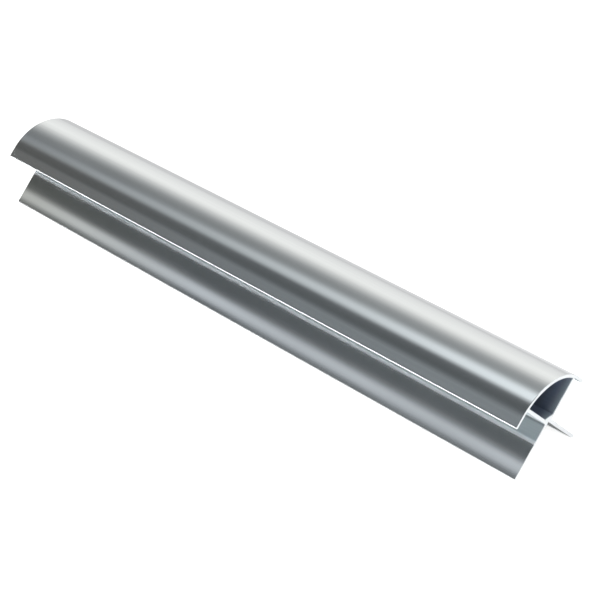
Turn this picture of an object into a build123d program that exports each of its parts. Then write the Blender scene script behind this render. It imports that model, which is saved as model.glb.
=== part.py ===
import os
from math import sqrt

from build123d import *

os.makedirs("parts", exist_ok=True)

# Outside-corner trim for wall panels: one extruded length of aluminium.
# The section is the same on both sides of its diagonal, so only side A is drawn:
# a fixing leg behind the panel, a web behind the panel's edge, and a lip over the panel's face
# that runs into the round cover. Side B is its mirror image.

# Driving dimensions, millimetres
length = 176.0           # sawn length of the piece
wall = 0.9               # thickness of every wall
panel_slot = 10.5        # clear width between leg and lip, for a 10 mm panel
leg_length = 15.0        # inside corner to leg tip
lip_length = 5.2         # cavity floor to lip tip
lip_straight = 2.5       # flat stretch of the lip, from its tip to the round
corner_fill = 2.0        # legs of the triangle that fills the cavity's inner corner
tip_radius = 0.3         # rounding of leg and lip tips
root_radius = 0.25       # rounding in the two corners of a slot

# Section sizes that follow from them, measured from the inside corner between the two legs
lip_inside = wall + panel_slot
lip_outside = lip_inside + wall
round_center = lip_straight - lip_length
cover_radius = lip_outside - round_center
middle_radius = cover_radius - wall / 2
web_rise = max(0, -wall / 2 - round_center)
web_reach = round_center + sqrt(middle_radius**2 - web_rise**2)
cover_crown = round_center + cover_radius / sqrt(2)

# The piece lies on its two leg tips with the round cover on top. Length runs along X.
corner_height = (leg_length - 2 * tip_radius) / sqrt(2) + tip_radius
section_plane = Plane(origin=(length / 2, 0, corner_height), x_dir=(0, -1, 1), z_dir=(-1, 0, 0))
diagonal = Plane(origin=(0, 0, 0), x_dir=(1, 1, 0), z_dir=(1, -1, 0))
same_level = root_radius / 10

with BuildPart() as corner_trim:
    with BuildSketch(section_plane) as section:
        # lip and half of the round, as a band of wall thickness inside the outer line
        with BuildLine():
            with BuildLine(mode=Mode.PRIVATE) as outer_line:
                Line((lip_outside, -lip_length), (lip_outside, round_center))
                RadiusArc((lip_outside, round_center), (cover_crown, cover_crown), -cover_radius)
            offset(outer_line.line, amount=wall, side=Side.LEFT)
        make_face()
        # fixing leg, with its back on the line of the far web's inner face
        Rectangle(wall, leg_length, align=(Align.MIN, Align.MAX))
        # web across the panel's edge
        Rectangle(web_reach, wall, align=(Align.MIN, Align.MAX))
        # half of the fill in the cavity's inner corner
        with BuildLine():
            Polyline((0, 0), (corner_fill, 0), (corner_fill / 2, corner_fill / 2), close=True)
        make_face()
        fillet(section.vertices().sort_by(Axis.Y)[:4], tip_radius)
        slot_corners = section.vertices().filter_by(lambda v: abs(v.Y + wall) < same_level)
        fillet(slot_corners, root_radius)
        mirror(about=diagonal)
    extrude(amount=length)

corner_trim.part.label = "corner_trim"
export_step(corner_trim.part, "parts/corner_trim.step")
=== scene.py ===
import math

import bpy
import numpy as np
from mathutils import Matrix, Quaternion, Vector
from mathutils.geometry import tessellate_polygon


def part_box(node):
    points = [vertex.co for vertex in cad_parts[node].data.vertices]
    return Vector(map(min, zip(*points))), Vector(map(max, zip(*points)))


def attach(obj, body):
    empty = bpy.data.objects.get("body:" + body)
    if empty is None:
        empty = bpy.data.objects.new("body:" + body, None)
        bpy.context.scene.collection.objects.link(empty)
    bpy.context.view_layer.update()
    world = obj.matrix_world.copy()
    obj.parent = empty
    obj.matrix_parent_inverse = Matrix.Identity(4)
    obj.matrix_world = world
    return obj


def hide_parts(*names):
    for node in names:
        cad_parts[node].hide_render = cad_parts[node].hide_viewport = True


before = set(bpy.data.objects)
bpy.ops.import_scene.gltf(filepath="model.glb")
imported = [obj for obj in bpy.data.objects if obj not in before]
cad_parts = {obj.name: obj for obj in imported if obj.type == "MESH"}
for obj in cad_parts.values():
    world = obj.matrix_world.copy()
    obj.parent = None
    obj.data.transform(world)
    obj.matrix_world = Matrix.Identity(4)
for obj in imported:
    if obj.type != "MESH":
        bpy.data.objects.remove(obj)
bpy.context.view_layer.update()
mm = 0.001  # every size below is in millimetres, every Blender length in metres
print("frame loaded with", ", ".join(sorted(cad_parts)))

# A Mix node's sockets by number, because those for colours and those for numbers share their names
mixShare = 0
colourA, colourB, mixedColour = 6, 7, 2
numberA, numberB, mixedNumber = 2, 3, 0


# One colour from its sRGB hex value, as linear red, green, blue and alpha, by the standard's own curve
def hexColour(text):
    srgb = np.array([int(text[i:i + 2], 16) for i in (1, 3, 5)]) / 255
    linear = np.where(srgb <= 0.04045, srgb / 12.92, ((srgb + 0.055) / 1.055) ** 2.4)
    return (*linear.tolist(), 1.0)


# One node with its settings; an input takes either a value or the output socket that feeds it,
# and stops are the places and colours of a colour ramp
def addNode(tree, kind, inputs=None, stops=(), **settings):
    node = tree.nodes.new(kind)
    for name, value in settings.items():
        setattr(node, name, value)
    for name, value in (inputs or {}).items():
        if isinstance(value, bpy.types.NodeSocket):
            tree.links.new(value, node.inputs[name])
        else:
            node.inputs[name].default_value = value
    if stops:
        elements = node.color_ramp.elements
        while len(elements) < len(stops):
            elements.new(1.0)
        for element, (place, colour) in zip(elements, stops):
            element.position = place
            element.color = colour
    return node


# The trim's section in mm, measured from the inside corner between its two legs: a along one web,
# b along the other. It is the same on both sides of the diagonal a = b.
trim = {
    "wall": 0.9,            # thickness of every wall
    "panelSlot": 10.5,      # clear width between leg and lip
    "legLength": 15.0,      # inside corner to leg tip
    "lipLength": 5.2,       # cavity floor to lip tip
    "lipStraight": 2.5,     # flat stretch of the lip, from its tip to the round
    "cornerFill": 2.0,      # legs of the triangle that fills the cavity's inner corner
    "tipRadius": 0.3,       # rounding of leg and lip tips
    "rootRadius": 0.25,     # rounding in the two corners of a slot
    "innerRadius": 0.08,    # what the die leaves in the corner between the legs
    "polishEnd": 5.42,      # inside corner to where the lip keeps the polishing wheel off the leg
    "polishFade": 0.72,     # the polish fades over this much on the open side of that line
    "polishStart": 0.45,    # and begins over this much on the slot's side
    "sawnEdge": 0.07,       # edge break that deburring leaves round a sawn end
    "guard": 0.05,          # a row this far beside each rounding keeps the flats flat
    "slack": 0.001,         # points this close to a plane lie on it
    "smallSteps": 10,       # facets of a small rounding
    "coverSteps": 120,      # facets of the round cover, and of the cavity's roof
    "lengthSteps": 16,      # rows along the length
    "sharpAngle": 30.0,     # degrees; steeper edges stay crisp
}


# A rounded corner is the arc that touches both sides of the corner. Its centre lies on the bisector,
# radius / sin(half the corner) away, and it starts and ends radius / tan(half the corner) along the sides.
# A guard point lies a little further along each side.
def roundCorner(before, corner, after, radius, steps):
    toBefore = (before - corner) / np.linalg.norm(before - corner)
    toAfter = (after - corner) / np.linalg.norm(after - corner)
    bisector = (toBefore + toAfter) / np.linalg.norm(toBefore + toAfter)
    halfCorner = math.acos(toBefore @ toAfter) / 2
    reach = radius / math.tan(halfCorner)
    centre = corner + bisector * radius / math.sin(halfCorner)
    start = corner + toBefore * reach - centre
    end = corner + toAfter * reach - centre
    turn = math.atan2(start[0] * end[1] - start[1] * end[0], start @ end)
    angles = math.atan2(start[1], start[0]) + turn * np.linspace(0, 1, steps + 1)
    arc = centre + radius * np.column_stack([np.cos(angles), np.sin(angles)])
    guard = reach + trim["guard"]
    return np.vstack([corner + toBefore * guard, arc, corner + toAfter * guard])


# The outer loop is a polygon with every corner rounded: down the leg and back, along the web, down the lip
# and up to the cover. The cover is the rounding of the square corner where the two lips would meet.
# With it come which stretches lie inside a slot, and which points are on the line where the polish ends,
# along which the slots also get a painted highlight.
def outerLoop():
    wall, polishEnd = trim["wall"], trim["polishEnd"]
    lipInside = wall + trim["panelSlot"]
    lipOutside = lipInside + wall
    coverRadius = lipOutside - trim["lipStraight"] + trim["lipLength"]
    tip, root = trim["tipRadius"], trim["rootRadius"]
    sideA = [
        (0, -trim["legLength"], tip),
        (wall, -trim["legLength"], tip),
        (wall, -wall, root),
        (lipInside, -wall, root),
        (lipInside, -trim["lipLength"], tip),
        (lipOutside, -trim["lipLength"], tip),
    ]
    sideB = [(b, a, radius) for a, b, radius in reversed(sideA)]
    corners = [(0, 0, trim["innerRadius"]), *sideA, (lipOutside, lipOutside, coverRadius), *sideB]
    points = np.array([corner[:2] for corner in corners])
    radii = [corner[2] for corner in corners]
    steps = [trim["coverSteps"] if radius == coverRadius else trim["smallSteps"] for radius in radii]
    parts = list(map(roundCorner, np.roll(points, 1, 0), points, np.roll(points, -1, 0), radii, steps))
    polishPlaces = (-polishEnd - trim["polishFade"], -polishEnd, trim["polishStart"] - polishEnd)
    polishRows = np.array([(wall, place) for place in polishPlaces])
    beforeLine, afterLine = 3, -2   # corners before the polish line of leg A, and after that of leg B
    loop = np.vstack([*parts[:beforeLine], polishRows, *parts[beforeLine:afterLine],
                      polishRows[::-1, ::-1], *parts[afterLine:]])
    polishAndSheenLine = (loop == polishRows[1]).all(1) | (loop == polishRows[1, ::-1]).all(1)
    middles = (loop + np.roll(loop, -1, 0)).T / 2
    across, along = middles, middles[::-1]  # seen from leg A and from leg B
    slack = trim["slack"]
    underLip = (across > wall - slack) & (across < lipInside + slack)
    inSlot = underLip & (along > -polishEnd) & (along < slack - wall)
    return loop, inSlot.any(0), polishAndSheenLine


# The cavity's loop: along one web, round the inside of the cover, back along the other web and over the
# fill. The roof is an arc about the cover's own centre, one wall smaller, from web to web.
def cavityLoop():
    centre = trim["lipStraight"] - trim["lipLength"]
    radius = trim["wall"] + trim["panelSlot"] - centre
    lift = math.asin(-centre / radius)
    angles = np.linspace(lift, math.pi / 2 - lift, trim["coverSteps"] + 1)
    roof = centre + radius * np.column_stack([np.cos(angles), np.sin(angles)])
    fill = trim["cornerFill"]
    return np.vstack([[(fill, 0)], roof, [(0, fill)]])


# A loop moved into the metal by the sawn edge: each point goes along the mean of its two side normals,
# stretched so that both sides move by the same amount. The metal is on the left of the way round.
def insetLoop(loop):
    ahead = np.roll(loop, -1, 0) - loop
    ahead /= np.linalg.norm(ahead, axis=1, keepdims=True)
    left = np.column_stack([-ahead[:, 1], ahead[:, 0]])
    leftBefore = np.roll(left, 1, 0)
    stretch = 1 + np.sum(left * leftBefore, axis=1, keepdims=True)
    return loop + trim["sawnEdge"] * (left + leftBefore) / stretch


# Section to row frame, in metres: the section stands on its leg tips, so Y is (b - a) / root 2, and Z is
# (a + b) / root 2 above the height of the inside corner
def placeSection(loop):
    tip = trim["tipRadius"]
    cornerHeight = (trim["legLength"] - 2 * tip) / math.sqrt(2) + tip
    across = (loop[:, 1] - loop[:, 0]) / math.sqrt(2)
    up = (loop[:, 0] + loop[:, 1]) / math.sqrt(2) + cornerHeight
    return np.column_stack([across, up]) * mm


# A loop carried along X: the first and last rows are the inset loop at the sawn faces, the rest are the
# full loop. Each face joins a point and the next one round on two neighbouring rows.
def carryLoop(loop, low, high):
    edge, steps = trim["sawnEdge"] * mm, trim["lengthSteps"]
    full = placeSection(loop)
    ends = placeSection(insetLoop(loop))
    stations = np.concatenate([[low], np.linspace(low + edge, high - edge, steps), [high]])
    rows = np.stack([ends, *[full] * steps, ends])
    along = np.broadcast_to(stations[:, None, None], (*rows.shape[:2], 1))
    points = np.concatenate([along, rows], axis=2).reshape(-1, 3)
    count = len(loop)
    row, column = np.meshgrid(np.arange(len(stations) - 1), np.arange(count), indexing="ij")
    here = row * count + column
    beside = row * count + (column + 1) % count
    faces = np.stack([here, here + count, beside + count, beside], axis=2).reshape(-1, 4)
    return points, faces


# The triangles of a sawn face, between the two loops. The cross product of two sides tells which way round
# a triangle goes, and all are turned the same way.
def fillSection(loops):
    fills = np.array(tessellate_polygon([loop.tolist() for loop in loops]))
    points = np.vstack(loops)
    toSecond = points[fills[:, 1]] - points[fills[:, 0]]
    toThird = points[fills[:, 2]] - points[fills[:, 0]]
    leftTurn = toSecond[:, 0] * toThird[:, 1] - toSecond[:, 1] * toThird[:, 0] > 0
    return np.where(leftTurn[:, None], fills, fills[:, ::-1])


# The whole trim: outer walls, cavity walls and the two sawn faces, each stretch with its own finish
def buildTrim(low, high, finishes):
    outer, inSlot, polishAndSheenLine = outerLoop()
    cavity = cavityLoop()[::-1]
    outerPoints, outerFaces = carryLoop(outer, low, high)
    cavityPoints, cavityFaces = carryLoop(cavity, low, high)
    points = np.vstack([outerPoints, cavityPoints])
    outerRows = np.arange(len(outerPoints)).reshape(-1, len(outer))
    cavityRows = np.arange(len(outerPoints), len(points)).reshape(-1, len(cavity))
    fills = fillSection([insetLoop(outer), insetLoop(cavity)])
    firstFace = np.concatenate([outerRows[0], cavityRows[0]])[fills]
    lastFace = np.concatenate([outerRows[-1], cavityRows[-1]])[fills[:, ::-1]]
    groups = [outerFaces, cavityFaces + len(outerPoints), firstFace, lastFace]
    mesh = bpy.data.meshes.new("cornerTrim")
    mesh.from_pydata(points, [], [face for group in groups for face in group.tolist()])
    # The points on the polish line, kept as an attribute: the polish roughens there, and the slots' colour
    # gets a painted highlight there
    line = np.concatenate([np.tile(polishAndSheenLine, len(outerRows)), np.zeros(len(cavityPoints))])
    lineData = mesh.attributes.new("polishAndSheenLine", "FLOAT", "POINT").data
    lineData.foreach_set("value", line.astype(np.float32))
    for finish in finishes.values():
        mesh.materials.append(finish)
    slotOf = {name: number for number, name in enumerate(finishes)}
    aroundOuter = np.where(inSlot, slotOf["satin"], slotOf["anodised"])
    slots = np.concatenate([
        np.tile(aroundOuter, len(outerRows) - 1),
        np.full(len(cavityFaces), slotOf["mill"]),
        np.full(len(firstFace) + len(lastFace), slotOf["sawn"]),
    ])
    mesh.polygons.foreach_set("material_index", slots.astype(np.int32))
    mesh.polygons.foreach_set("use_smooth", np.ones(len(slots), dtype=bool))
    mesh.set_sharp_from_angle(angle=math.radians(trim["sharpAngle"]))
    mesh.update()
    piece = bpy.data.objects.new("corner_trim_skin", mesh)
    bpy.context.scene.collection.objects.link(piece)
    return piece


# A new metal: its material, its node tree and its shader
def startMetal(name):
    material = bpy.data.materials.new(name)
    material.use_nodes = True
    tree = material.node_tree
    shader = tree.nodes["Principled BSDF"]
    shader.inputs["Metallic"].default_value = 1.0
    return material, tree, shader


# Noise drawn out along X, for the finish's lines or patches: about as long and as far apart as it says
def drawStreaks(tree, finish, kind):
    place = addNode(tree, "ShaderNodeTexCoord").outputs["Object"]
    lengthwise = 1 / (finish[kind + "Length"] * mm)
    crosswise = 1 / (finish[kind + "Spacing"] * mm)
    stretch = {"Vector": place, "Scale": (lengthwise, crosswise, crosswise)}
    drawn = addNode(tree, "ShaderNodeMapping", stretch).outputs["Vector"]
    noise = {"Vector": drawn, "Scale": 1.0, "Detail": finish[kind + "Detail"]}
    return addNode(tree, "ShaderNodeTexNoise", noise).outputs["Fac"]


# A pattern gives the metal its tone, from duller to paler, and its relief
def markMetal(tree, shader, pattern, finish):
    tones = {mixShare: pattern, colourA: hexColour(finish["duller"]), colourB: hexColour(finish["paler"])}
    tone = addNode(tree, "ShaderNodeMix", tones, data_type="RGBA").outputs[mixedColour]
    tree.links.new(tone, shader.inputs["Base Color"])
    bump = {"Height": pattern, "Strength": 1.0, "Distance": finish["depth"] * mm}
    relief = addNode(tree, "ShaderNodeBump", bump).outputs["Normal"]
    tree.links.new(relief, shader.inputs["Normal"])
    return tone


# Clear-anodised aluminium, extruded and polished: a cool bright metal under a thin clear oxide film. The
# film softens reflections a little, and the die leaves faint straight lines along the length.
anodised = {
    "paler": "#f1f3f4",
    "duller": "#e6e9eb",
    "roughness": (0.13, 0.17),
    "lineSpacing": 0.35,        # mm; real die lines are a few hundredths wide, drawn coarser to show
    "lineLength": 140.0,        # mm along the extrusion
    "lineDetail": 3.0,          # finer lines within the lines, in octaves
    "depth": 0.0006,            # mm
    "patchSpacing": 9.0,        # mm, slow change of sheen
    "patchLength": 45.0,        # mm
    "patchDetail": 2.0,
    "patchRange": (0.3, 0.7),   # where the noise gives the least and the most roughness
}


def anodisedAluminium():
    material, tree, shader = startMetal("anodised_extruded_aluminium")
    markMetal(tree, shader, drawStreaks(tree, anodised, "line"), anodised)
    least, most = anodised["patchRange"]
    smoother, rougher = anodised["roughness"]
    patches = {"Value": drawStreaks(tree, anodised, "patch"), "From Min": least, "From Max": most,
               "To Min": smoother, "To Max": rougher}
    sheen = addNode(tree, "ShaderNodeMapRange", patches).outputs["Result"]
    line = addNode(tree, "ShaderNodeAttribute", attribute_name="polishAndSheenLine").outputs["Fac"]
    fade = {mixShare: line, numberA: sheen, numberB: satin["roughness"]}
    faded = addNode(tree, "ShaderNodeMix", fade).outputs[mixedNumber]
    tree.links.new(faded, shader.inputs["Roughness"])
    return material


# Satin aluminium inside the slots: the same film, but as it left the die, because no polishing wheel
# reaches there. It scatters what it reflects, so the slots look an even grey. Its colour has a painted
# highlight, paler where the polish begins, and painted shade, darker in their corners.
satin = {
    "paler": "#d0d7da",
    "duller": "#c3cbce",
    "paintedSheen": "#f5f7f8",       # painted highlight along the line where the polish begins
    "creaseShadeReach": 0.8,         # mm over which painted shade darkens the corners of a slot
    "roughness": 1.0,
    "lineSpacing": 0.4,         # mm
    "lineLength": 90.0,         # mm
    "lineDetail": 3.0,
    "depth": 0.001,             # mm
}


def satinAluminium():
    material, tree, shader = startMetal("satin_extruded_aluminium")
    shader.inputs["Roughness"].default_value = satin["roughness"]
    tone = markMetal(tree, shader, drawStreaks(tree, satin, "line"), satin)
    # Painted highlight: the colour turns paler along the line where the polish begins, just under the lip
    line = addNode(tree, "ShaderNodeAttribute", attribute_name="polishAndSheenLine").outputs["Fac"]
    paintedSheen = {mixShare: line, colourA: tone, colourB: hexColour(satin["paintedSheen"])}
    paled = addNode(tree, "ShaderNodeMix", paintedSheen, data_type="RGBA").outputs[mixedColour]
    # Painted shade: an occlusion node darkens the colour in the corners of a slot
    creaseShade = {"Color": paled, "Distance": satin["creaseShadeReach"] * mm}
    creaseShaded = addNode(tree, "ShaderNodeAmbientOcclusion", creaseShade, only_local=True).outputs["Color"]
    tree.links.new(creaseShaded, shader.inputs["Base Color"])
    return material


# Mill-finish aluminium inside the hollow: nothing polishes it, so it looks dull and bluish, with the
# die lines plainer. Its tones are set darker than the other finishes, painting part of the hollow's shade
# into its colour, and it is paler just inside its two mouths, painted light falling in at each open end.
mill = {
    # tones darker than the other finishes: the mill finish's own dullness, and partly painted shade for the
    # hollow
    "paler": "#abb5c5",
    "duller": "#9aa4b4",
    "mouthLit": "#d8dfe3",
    "mouthLightReach": 3.0,           # mm from a sawn end
    "mouthLightCurve": 2.0,           # power of its growth towards the end
    "roughness": 0.95,
    "lineSpacing": 0.5,         # mm
    "lineLength": 60.0,         # mm
    "lineDetail": 3.0,
    "depth": 0.003,             # mm
}


def millAluminium(halfLength):
    material, tree, shader = startMetal("mill_finish_aluminium")
    shader.inputs["Roughness"].default_value = mill["roughness"]
    tone = markMetal(tree, shader, drawStreaks(tree, mill, "line"), mill)
    # Painted light: the tone turns paler towards each open end, where light falls into the hollow
    place = addNode(tree, "ShaderNodeTexCoord").outputs["Object"]
    alongX = addNode(tree, "ShaderNodeSeparateXYZ", {"Vector": place}).outputs["X"]
    fromMiddle = addNode(tree, "ShaderNodeMath", {0: alongX}, operation="ABSOLUTE").outputs[0]
    reach = {"Value": fromMiddle, "From Min": halfLength - mill["mouthLightReach"] * mm, "From Max": halfLength}
    nearEnd = addNode(tree, "ShaderNodeMapRange", reach).outputs["Result"]
    growth = {0: nearEnd, 1: mill["mouthLightCurve"]}
    mouthLight = addNode(tree, "ShaderNodeMath", growth, operation="POWER").outputs[0]
    tones = {mixShare: mouthLight, colourA: tone, colourB: hexColour(mill["mouthLit"])}
    mouthLit = addNode(tree, "ShaderNodeMix", tones, data_type="RGBA").outputs[mixedColour]
    tree.links.new(mouthLit, shader.inputs["Base Color"])
    return material


# Sawn aluminium on the two ends: bare bright metal with the fine arcs of a saw blade, so it scatters
# what it reflects and looks almost white beside a pale floor
sawn = {
    "paler": "#e6e9ea",
    "duller": "#d9dddf",
    "roughness": 0.35,
    "bladeCentre": (62.5, 125.0),   # mm across and above the origin, the centre of the arcs
    "markSpacing": 0.25,            # mm between arcs; real ones are half that, drawn coarser to show
    "waver": 1.5,                   # how unevenly the arcs run, from 0 for true circles
    "waverDetail": 2.0,
    "waverScale": 0.4,
    "depth": 0.002,                 # mm
}


def sawnAluminium():
    material, tree, shader = startMetal("sawn_aluminium")
    shader.inputs["Roughness"].default_value = sawn["roughness"]
    place = addNode(tree, "ShaderNodeTexCoord").outputs["Object"]
    across, above = sawn["bladeCentre"]
    centre = {"Vector": place, "Location": (0, -across * mm, -above * mm)}
    moved = addNode(tree, "ShaderNodeMapping", centre).outputs["Vector"]
    wavesPerUnit = 20 / (2 * math.pi)  # rings of the wave texture in one unit at scale 1
    arcs = {"Vector": moved, "Scale": 1 / (sawn["markSpacing"] * mm * wavesPerUnit),
            "Distortion": sawn["waver"], "Detail": sawn["waverDetail"], "Detail Scale": sawn["waverScale"]}
    marks = addNode(tree, "ShaderNodeTexWave", arcs, wave_type="RINGS", rings_direction="X")
    markMetal(tree, shader, marks.outputs["Fac"], sawn)
    return material


nodeLow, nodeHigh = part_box("corner_trim")
finishes = {
    "anodised": anodisedAluminium(),
    "satin": satinAluminium(),
    "mill": millAluminium(nodeHigh.x),
    "sawn": sawnAluminium(),
}
skin = buildTrim(nodeLow.x, nodeHigh.x, finishes)
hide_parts("corner_trim")
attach(skin, "root")
print("trim built with", len(skin.data.vertices), "points and", len(skin.data.polygons), "faces")


# Studio: a light tent whose tone goes round its length by the angle in degrees, from the bright wall behind
# (0) over the top (90) to the dim front, which ends in a bright edge at the floor (180). A soft strip
# overhead grows brighter towards the near end, and the front is a little warmer beyond the far end.
studio = {
    "turn": -15.0,              # degrees between the tent's length and the trim's
    "tent": [
        (0, "#e4e4e3"), (30, "#fdfdfa"), (38, "#f5f5f2"), (55, "#a6a8a8"), (64, "#7d8080"), (76, "#646769"),
        (113, "#575b5d"), (128, "#909699"), (138, "#6b7073"), (160, "#545657"), (177, "#ffffff"),
    ],
    "strip": {
        # the turn of each edge, with its shares by the angle
        "edges": [(-25.0, [(54, 0.0), (66, 0.2), (75, 1.0)]), (-18.0, [(87, 1.0), (94.2, 0.0)])],
        "none": -0.93,          # direction along X where it has faded out
        "full": -0.45,          # and where it is strongest
        "curve": 1.85,          # power of the growth between them
        "colour": "#eaf0f2",
    },
    "warmth": {
        "edges": [(-15.0, [(84, 0.0), (95, 1.0)])],
        "none": -0.62,
        "full": -0.72,
        "curve": 1.0,
        "colour": "#fff5ec",
    },
    "dome": 0.76,               # even soft light on the floor
    "backdrop": "#ffffff",
    "floorColour": "#e9e9e9",
    "floorRoughness": 1.0,
    "floorGloss": 0.0,
    "floorGlow": 0.75,          # the floor is lit from below as well, which lifts the shadow
    "floorSize": 6000.0,        # mm
}


# Colour stops by the angle round a level axis that is turned away from X
def aroundRamp(tree, direction, turn, stops):
    halfTurn = 180  # degrees, the whole length of the ramp
    swing = {"Vector": direction, "Angle": math.radians(turn)}
    turned = addNode(tree, "ShaderNodeVectorRotate", swing, rotation_type="Z_AXIS").outputs["Vector"]
    parts = addNode(tree, "ShaderNodeSeparateXYZ", {"Vector": turned}).outputs
    around = addNode(tree, "ShaderNodeMath", {0: parts["Z"], 1: parts["Y"]}, operation="ARCTAN2")
    share = addNode(tree, "ShaderNodeMath", {0: around.outputs[0], 1: math.pi}, operation="DIVIDE")
    shares = [(angle / halfTurn, colour) for angle, colour in stops]
    return addNode(tree, "ShaderNodeValToRGB", {"Fac": share.outputs[0]}, shares).outputs["Color"]


# How strongly a band of the tent acts: its growth along X, times its share by the angle at each edge
def bandShare(tree, direction, band):
    alongX = addNode(tree, "ShaderNodeSeparateXYZ", {"Vector": direction}).outputs["X"]
    reach = {"Value": alongX, "From Min": band["none"], "From Max": band["full"]}
    growth = addNode(tree, "ShaderNodeMapRange", reach).outputs["Result"]
    share = addNode(tree, "ShaderNodeMath", {0: growth, 1: band["curve"]}, operation="POWER").outputs[0]
    for turn, stops in band["edges"]:
        edge = aroundRamp(tree, direction, turn, [(angle, (s, s, s, 1)) for angle, s in stops])
        share = addNode(tree, "ShaderNodeMath", {0: share, 1: edge}, operation="MULTIPLY").outputs[0]
    return share


# The metal mirrors the tent, the floor gets the dome's even light, and behind the scene is the backdrop
def buildTent():
    world = bpy.data.worlds.new("lightTent")
    bpy.context.scene.world = world
    world.use_nodes = True
    world.cycles.sampling_method = "NONE"
    tree = world.node_tree
    tree.nodes.clear()
    direction = addNode(tree, "ShaderNodeTexCoord").outputs["Generated"]
    stops = [(angle, hexColour(colour)) for angle, colour in studio["tent"]]
    tent = aroundRamp(tree, direction, studio["turn"], stops)
    for name, blend in (("warmth", "MULTIPLY"), ("strip", "ADD")):
        share = bandShare(tree, direction, studio[name])
        tones = {mixShare: share, colourA: tent, colourB: hexColour(studio[name]["colour"])}
        band = addNode(tree, "ShaderNodeMix", tones, data_type="RGBA", blend_type=blend)
        tent = band.outputs[mixedColour]
    white = hexColour(studio["backdrop"])
    mirrored = addNode(tree, "ShaderNodeBackground", {"Color": tent}).outputs[0]
    backdrop = addNode(tree, "ShaderNodeBackground", {"Color": white}).outputs[0]
    dome = addNode(tree, "ShaderNodeBackground", {"Color": white, "Strength": studio["dome"]}).outputs[0]
    path = addNode(tree, "ShaderNodeLightPath").outputs
    lit = addNode(tree, "ShaderNodeMixShader", {0: path["Is Glossy Ray"], 1: dome, 2: mirrored})
    seen = addNode(tree, "ShaderNodeMixShader", {0: path["Is Camera Ray"], 1: lit.outputs[0], 2: backdrop})
    addNode(tree, "ShaderNodeOutputWorld", {"Surface": seen.outputs[0]})


# One flat sheet of the stage, with a UV map from its first corner to its third
def addStage(name, corners, material):
    mesh = bpy.data.meshes.new(name)
    mesh.from_pydata(corners, [], [(0, 1, 2, 3)])
    mesh.uv_layers.new().data.foreach_set("uv", [0, 0, 1, 0, 1, 1, 0, 1])
    mesh.materials.append(material)
    sheet = bpy.data.objects.new(name, mesh)
    bpy.context.scene.collection.objects.link(sheet)
    return sheet


def buildFloor():
    material = bpy.data.materials.new("pale_floor")
    material.use_nodes = True
    tree = material.node_tree
    paint = tree.nodes["Principled BSDF"]
    paint.inputs["Base Color"].default_value = hexColour(studio["floorColour"])
    paint.inputs["Roughness"].default_value = studio["floorRoughness"]
    paint.inputs["Specular IOR Level"].default_value = studio["floorGloss"]
    paint.inputs["Emission Color"].default_value = hexColour(studio["backdrop"])
    path = addNode(tree, "ShaderNodeLightPath").outputs
    glow = {0: path["Is Camera Ray"], 1: studio["floorGlow"]}
    strength = addNode(tree, "ShaderNodeMath", glow, operation="MULTIPLY").outputs[0]
    tree.links.new(strength, paint.inputs["Emission Strength"])
    half = studio["floorSize"] * mm / 2
    addStage("floor", [(-half, -half, 0), (half, -half, 0), (half, half, 0), (-half, half, 0)], material)


# Two soft lamps light the floor in front of the trim and round its near end, and the metal mirrors
# that floor
lamps = {
    "front": {
        "place": (0.0, -95.0, 100.0),   # mm
        "aim": (0.0, -94.0, 0.0),       # mm
        "size": (460.0, 60.0),          # mm
        "spread": 80.0,                 # degrees
        "power": 0.75,                  # watts
    },
    "end": {
        "place": (200.0, 0.0, 120.0),
        "aim": (110.0, 12.0, 0.0),
        "size": (100.0, 100.0),
        "spread": 120.0,
        "power": 0.135,
    },
}


def buildLamps():
    for name, lamp in lamps.items():
        data = bpy.data.lights.new(name + "Lamp", "AREA")
        data.shape = "RECTANGLE"
        data.size, data.size_y = [side * mm for side in lamp["size"]]
        data.spread = math.radians(lamp["spread"])
        data.energy = lamp["power"]
        light = bpy.data.objects.new(name + "Lamp", data)
        place, aim = Vector(lamp["place"]) * mm, Vector(lamp["aim"]) * mm
        light.location = place
        light.rotation_mode = "QUATERNION"
        light.rotation_quaternion = (place - aim).to_track_quat("Z", "Y")
        light.visible_camera = False
        light.visible_glossy = False
        bpy.context.scene.collection.objects.link(light)


# A dark board with a light stripe stands close to the front leg, where only its mirror image shows
board = {
    "away": 25.0,           # mm in the section, square to the leg
    "span": (-15.8, -5.0),  # mm in the section, along the leg
    "rise": 0.8,            # mm that its near end stands higher
    "length": 460.0,        # mm
    # tones by the share of its height, from below, and of its length, from the far end
    "stripe": [(0.205, "#565a5c"), (0.265, "#d3d8dd"), (0.47, "#d3d8dd"), (0.53, "#565a5c")],
    "warmth": [(0.24, "#faf4e7"), (0.42, "#fafafa"), (0.60, "#ffffff")],
}


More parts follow.
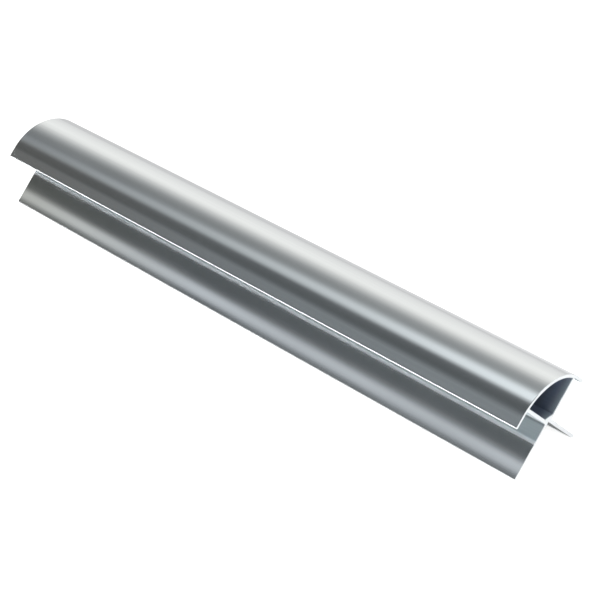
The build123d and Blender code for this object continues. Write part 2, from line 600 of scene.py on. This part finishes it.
def buildBoard():
    material = bpy.data.materials.new("striped_board")
    material.use_nodes = True
    tree = material.node_tree
    share = addNode(tree, "ShaderNodeTexCoord").outputs["UV"]
    parts = addNode(tree, "ShaderNodeSeparateXYZ", {"Vector": share}).outputs
    tones = {mixShare: 1.0}
    for socket, axis, name in ((colourA, "Y", "stripe"), (colourB, "X", "warmth")):
        stops = [(place, hexColour(colour)) for place, colour in board[name]]
        tones[socket] = addNode(tree, "ShaderNodeValToRGB", {"Fac": parts[axis]}, stops).outputs["Color"]
    tone = addNode(tree, "ShaderNodeMix", tones, data_type="RGBA", blend_type="MULTIPLY")
    glow = addNode(tree, "ShaderNodeEmission", {"Color": tone.outputs[mixedColour]}).outputs[0]
    tree.links.new(glow, tree.nodes["Material Output"].inputs["Surface"])
    half, lift = board["length"] * mm / 2, board["rise"] / 2
    low, high = board["span"]
    alongLeg = np.array([low - lift, low + lift, high + lift, high - lift])
    places = placeSection(np.column_stack([np.full_like(alongLeg, board["away"]), alongLeg]))
    sheet = addStage("stripedBoard", np.column_stack([(-half, half, half, -half), places]), material)
    sheet.visible_camera = False
    sheet.visible_diffuse = False
    sheet.visible_shadow = False


buildTent()
buildFloor()
buildLamps()
buildBoard()
print("studio lit")


# Camera at the photograph's viewing angle
viewpoint = {
    "aim": (14.489, -3.028, 10.482),    # mm
    "distance": 408.44,                 # mm
    "azimuth": 43.811,                  # degrees, 0 looks along +Y
    "elevation": 33.464,                # degrees
    "roll": 0.169,                      # degrees
    "lens": 99.614,                     # mm
    "sensorWidth": 36.0,                # mm
    "clip": (10.0, 50000.0),            # mm, the nearest and farthest that it sees
}


def buildCamera():
    data = bpy.data.cameras.new("viewpoint")
    data.sensor_width = viewpoint["sensorWidth"]
    data.lens = viewpoint["lens"]
    data.clip_start, data.clip_end = [depth * mm for depth in viewpoint["clip"]]
    camera = bpy.data.objects.new("viewpoint", data)
    azimuth, elevation = math.radians(viewpoint["azimuth"]), math.radians(viewpoint["elevation"])
    level = math.cos(elevation)
    back = Vector((math.sin(azimuth) * level, -math.cos(azimuth) * level, math.sin(elevation)))
    camera.location = (Vector(viewpoint["aim"]) + back * viewpoint["distance"]) * mm
    camera.rotation_mode = "QUATERNION"
    roll = Quaternion((0, 0, 1), math.radians(viewpoint["roll"]))
    camera.rotation_quaternion = (-back).to_track_quat("-Z", "Y") @ roll
    bpy.context.scene.collection.objects.link(camera)
    bpy.context.scene.camera = camera
    bpy.context.scene.view_settings.view_transform = "Standard"


buildCamera()
print("camera placed")
